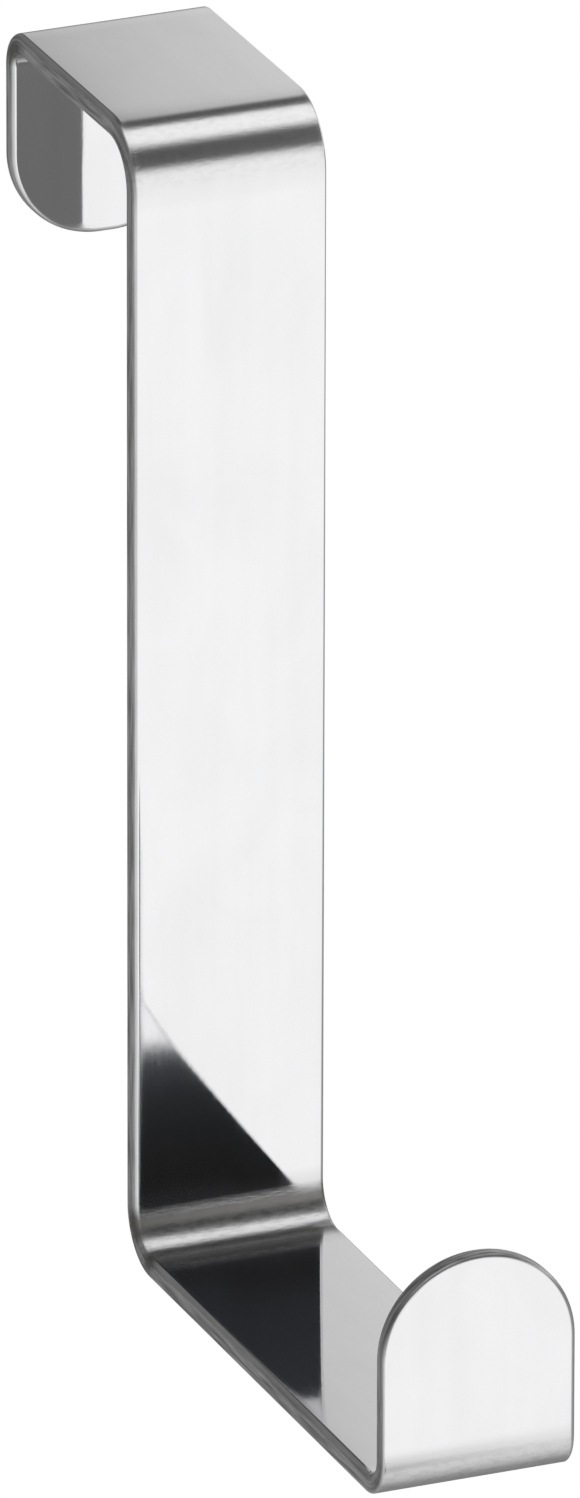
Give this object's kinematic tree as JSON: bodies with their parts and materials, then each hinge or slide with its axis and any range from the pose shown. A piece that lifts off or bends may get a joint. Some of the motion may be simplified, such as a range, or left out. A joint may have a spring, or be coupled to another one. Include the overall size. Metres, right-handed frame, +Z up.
{
  "type": "over door hook",
  "caption": "Over door hook folded from a flat strip of mirror polished steel: it hangs on a door's top edge and carries clothes or bags on a level arm with an upturned end.",
  "frame": {"origin": "middle of the door gap, on the underside of the top plate, where the door's top edge sits", "axes": "+Z up, -Y towards the room, X along the strip's width"},
  "size_m": [0.015, 0.072, 0.0883],
  "materials": {
    "polished_steel": "mirror polished stainless steel with softly rounded edges"
  },
  "bodies": {
    "root": {"hook_strip": "polished_steel"}
  },
  "joints": []
}
